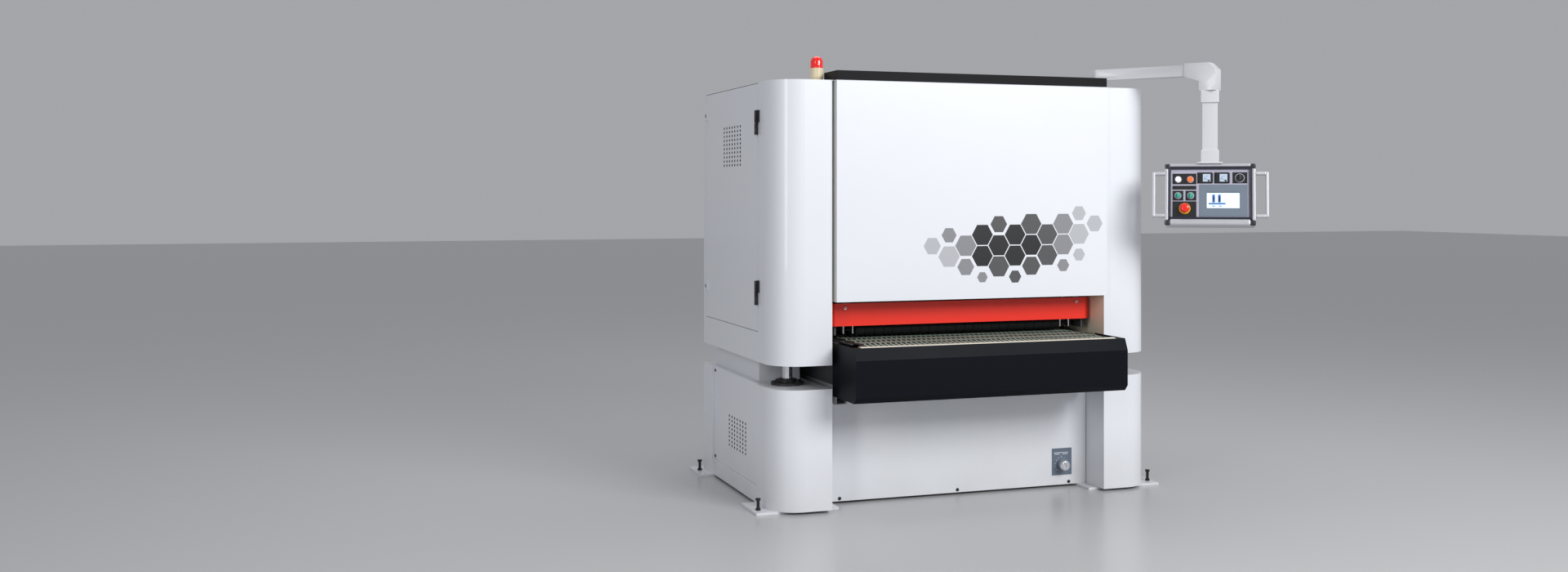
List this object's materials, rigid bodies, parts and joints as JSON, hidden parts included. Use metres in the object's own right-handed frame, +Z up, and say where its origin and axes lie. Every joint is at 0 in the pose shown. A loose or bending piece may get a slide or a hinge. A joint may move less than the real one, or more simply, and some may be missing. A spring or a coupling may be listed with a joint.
{
  "type": "edge rounding machine",
  "caption": "Wide-belt edge rounding and deburring machine: conveyor base, lifting sanding head with side doors, and a swing-arm operator panel.",
  "frame": {"origin": "on the floor, at the middle of the four anchor holes", "axes": "+X to the right seen from the infeed side, along the widest extent; the infeed front faces -Y; +Z up"},
  "size_m": [2.515, 2.0643, 2.229],
  "materials": {
    "white_paint": "satin powder coat",
    "grey_paint": "satin",
    "motor_paint": "satin",
    "frame_paint": "satin",
    "cream_paint": "satin",
    "red_paint": "gloss",
    "black_paint": "satin",
    "black_screws": "blackened",
    "black_iron": "satin black",
    "chrome_rod": "hard chromed",
    "machined_steel": "machined",
    "duct_steel": "galvanised",
    "belt_rubber": "rough top",
    "drive_rubber": "matt",
    "roller_rubber": "ground",
    "abrasive_cloth": "coated abrasive",
    "abrasive_flaps": "abrasive flaps on a core",
    "dial_print": "printed plate",
    "beige_plastic": "satin",
    "red_lens": "clear red lens",
    "panel_aluminium": "anodised",
    "panel_face": "printed",
    "screen_plastic": "satin",
    "white_lens": "clear lens",
    "orange_lens": "clear lens",
    "teal_plastic": "gloss",
    "black_plastic": "gloss",
    "stop_red": "gloss"
  },
  "bodies": {
    "base": {"base_frame": "grey_paint", "base_housings": "white_paint", "lower_panels": "white_paint", "foot_plates": "white_paint", "levelling_bolts": "black_screws", "necks": "white_paint", "lift_jacks": "black_iron", "lift_drive": "motor_paint", "casing_screws": "black_screws", "conveyor_frame": "frame_paint", "conveyor_belt": "belt_rubber", "conveyor_gearmotor": "motor_paint", "conveyor_covers": "black_paint", "dial_plate": "dial_print"},
    "feed_dial_knob": {"speed_knob": "machined_steel"},
    "infeed_roll": {"infeed_drum": "machined_steel"},
    "outfeed_roll": {"outfeed_drum": "machined_steel"},
    "head": {"inner_walls": "cream_paint", "head_beams": "grey_paint", "side_skins": "white_paint", "back_panel": "white_paint", "front_panel": "white_paint", "top_cap": "black_paint", "roof": "white_paint", "lift_columns": "chrome_rod", "guards": "red_paint", "sanding_beam": "grey_paint", "main_motor": "motor_paint", "drive_belts": "drive_rubber", "brush_motor": "motor_paint", "press_brackets": "grey_paint", "dust_ports": "duct_steel", "arm_pedestal": "white_paint", "beacon_base": "beige_plastic", "beacon_dome": "red_lens", "abrasive_belt": "abrasive_cloth", "front_springs": "machined_steel", "rear_springs": "machined_steel"},
    "contact_roller_body": {"contact_roller": "roller_rubber"},
    "tension_roller_body": {"tension_roller": "machined_steel"},
    "motor_pulley_body": {"motor_pulley": "black_iron"},
    "brush_roller_body": {"brush_roller": "abrasive_flaps"},
    "front_press_roller_body": {"front_press_roller": "roller_rubber"},
    "front_hangers_body": {"front_hangers": "machined_steel"},
    "rear_press_roller_body": {"rear_press_roller": "roller_rubber"},
    "rear_hangers_body": {"rear_hangers": "machined_steel"},
    "door_left_body": {"door_left": "white_paint"},
    "door_right_body": {"door_right": "white_paint"},
    "swing_arm_body": {"swing_arm": "white_paint"},
    "lamp_button_body": {"lamp_button": "white_lens"},
    "start_button_body": {"start_button": "orange_lens"},
    "mode_selector_body": {"mode_selector": "teal_plastic"},
    "feed_selector_body": {"feed_selector": "teal_plastic"},
    "main_switch_body": {"main_switch": "black_plastic"},
    "stop_button_body": {"stop_button": "stop_red"},
    "pendant": {"drop_tube": "white_paint", "pendant_box": "panel_aluminium", "pendant_frame": "panel_aluminium", "face_plate": "panel_face", "touch_screen": "screen_plastic"}
  },
  "joints": [
    {"name": "feed_speed_turn", "type": "hinge", "parent": "base", "child": "feed_dial_knob", "pos_m": [0.605, -0.4483, 0.12], "axis": [0, -1, 0], "range_deg": [-135, 135]},
    {"name": "infeed_roll_turn", "type": "hinge", "parent": "base", "child": "infeed_roll", "pos_m": [0, -0.771, 0.742], "axis": [1, 0, 0], "continuous": true},
    {"name": "outfeed_roll_turn", "type": "hinge", "parent": "base", "child": "outfeed_roll", "pos_m": [0, 0.771, 0.742], "axis": [1, 0, 0], "continuous": true},
    {"name": "head_lift", "type": "slide", "parent": "base", "child": "head", "axis": [0, 0, 1], "range_m": [-0.011, 0.086]},
    {"name": "contact_roller_turn", "type": "hinge", "parent": "head", "child": "contact_roller_body", "pos_m": [0, -0.19, 0.9525], "axis": [1, 0, 0], "continuous": true},
    {"name": "tension_roller_turn", "type": "hinge", "parent": "head", "child": "tension_roller_body", "pos_m": [0, -0.19, 1.6185], "axis": [1, 0, 0], "continuous": true},
    {"name": "motor_pulley_turn", "type": "hinge", "parent": "head", "child": "motor_pulley_body", "pos_m": [0.809, 0.15, 1.4525], "axis": [1, 0, 0], "continuous": true},
    {"name": "brush_roller_turn", "type": "hinge", "parent": "head", "child": "brush_roller_body", "pos_m": [0, 0.2, 0.971], "axis": [1, 0, 0], "continuous": true},
    {"name": "front_hanger_rise", "type": "slide", "parent": "head", "child": "front_hangers_body", "axis": [0, 0, 1], "range_m": [0, 0.01], "stiffness_N_per_m": 6000, "springref_m": -0.011, "deforming": ["front_springs"]},
    {"name": "front_press_roller_turn", "type": "hinge", "parent": "front_hangers_body", "child": "front_press_roller_body", "pos_m": [0, -0.45, 0.87], "axis": [1, 0, 0], "continuous": true},
    {"name": "rear_hanger_rise", "type": "slide", "parent": "head", "child": "rear_hangers_body", "axis": [0, 0, 1], "range_m": [0, 0.01], "stiffness_N_per_m": 6000, "springref_m": -0.011, "deforming": ["rear_springs"]},
    {"name": "rear_press_roller_turn", "type": "hinge", "parent": "rear_hangers_body", "child": "rear_press_roller_body", "pos_m": [0, 0.45, 0.87], "axis": [1, 0, 0], "continuous": true},
    {"name": "left_door_swing", "type": "hinge", "parent": "head", "child": "door_left_body", "pos_m": [-1.063, -0.3665, 0.995], "axis": [0, 0, 1], "range_deg": [0, 110]},
    {"name": "right_door_swing", "type": "hinge", "parent": "head", "child": "door_right_body", "pos_m": [1.063, -0.3665, 0.995], "axis": [0, 0, -1], "range_deg": [0, 110]},
    {"name": "arm_swing", "type": "hinge", "parent": "head", "child": "swing_arm_body", "pos_m": [0.822, -0.46, 2.142], "axis": [0, 0, 1], "range_deg": [-60, 18]},
    {"name": "pendant_swivel", "type": "hinge", "parent": "swing_arm_body", "child": "pendant", "pos_m": [1.16528, -0.95575, 2.066], "axis": [0, 0, 1], "range_deg": [-90, 90]},
    {"name": "lamp_button_push", "type": "slide", "parent": "pendant", "child": "lamp_button_body", "axis": [0.5733, 0.8007, -0.1736], "range_m": [0, 0.004], "stiffness_N_per_m": 400, "springref_m": -0.002},
    {"name": "start_button_push", "type": "slide", "parent": "pendant", "child": "start_button_body", "axis": [0.5733, 0.8007, -0.1736], "range_m": [0, 0.004], "stiffness_N_per_m": 400, "springref_m": -0.002},
    {"name": "stop_button_push", "type": "slide", "parent": "pendant", "child": "stop_button_body", "axis": [0.5733, 0.8007, -0.1736], "range_m": [0, 0.004], "stiffness_N_per_m": 900, "springref_m": -0.002},
    {"name": "mode_selector_turn", "type": "hinge", "parent": "pendant", "child": "mode_selector_body", "pos_m": [1.00807, -0.90907, 1.53837], "axis": [-0.5733, -0.8007, 0.1736], "range_deg": [-45, 45]},
    {"name": "feed_selector_turn", "type": "hinge", "parent": "pendant", "child": "feed_selector_body", "pos_m": [1.05848, -0.94516, 1.53837], "axis": [-0.5733, -0.8007, 0.1736], "range_deg": [-45, 45]},
    {"name": "main_switch_turn", "type": "hinge", "parent": "pendant", "child": "main_switch_body", "pos_m": [1.26028, -1.07042, 1.627], "axis": [-0.5733, -0.8007, 0.1736], "range_deg": [0, 90]}
  ],
  "couplings": [
    {"joint": "outfeed_roll_turn", "follows": "infeed_roll_turn", "ratio": 1},
    {"joint": "tension_roller_turn", "follows": "contact_roller_turn", "ratio": 1.5714},
    {"joint": "motor_pulley_turn", "follows": "contact_roller_turn", "ratio": 0.86111}
  ]
}
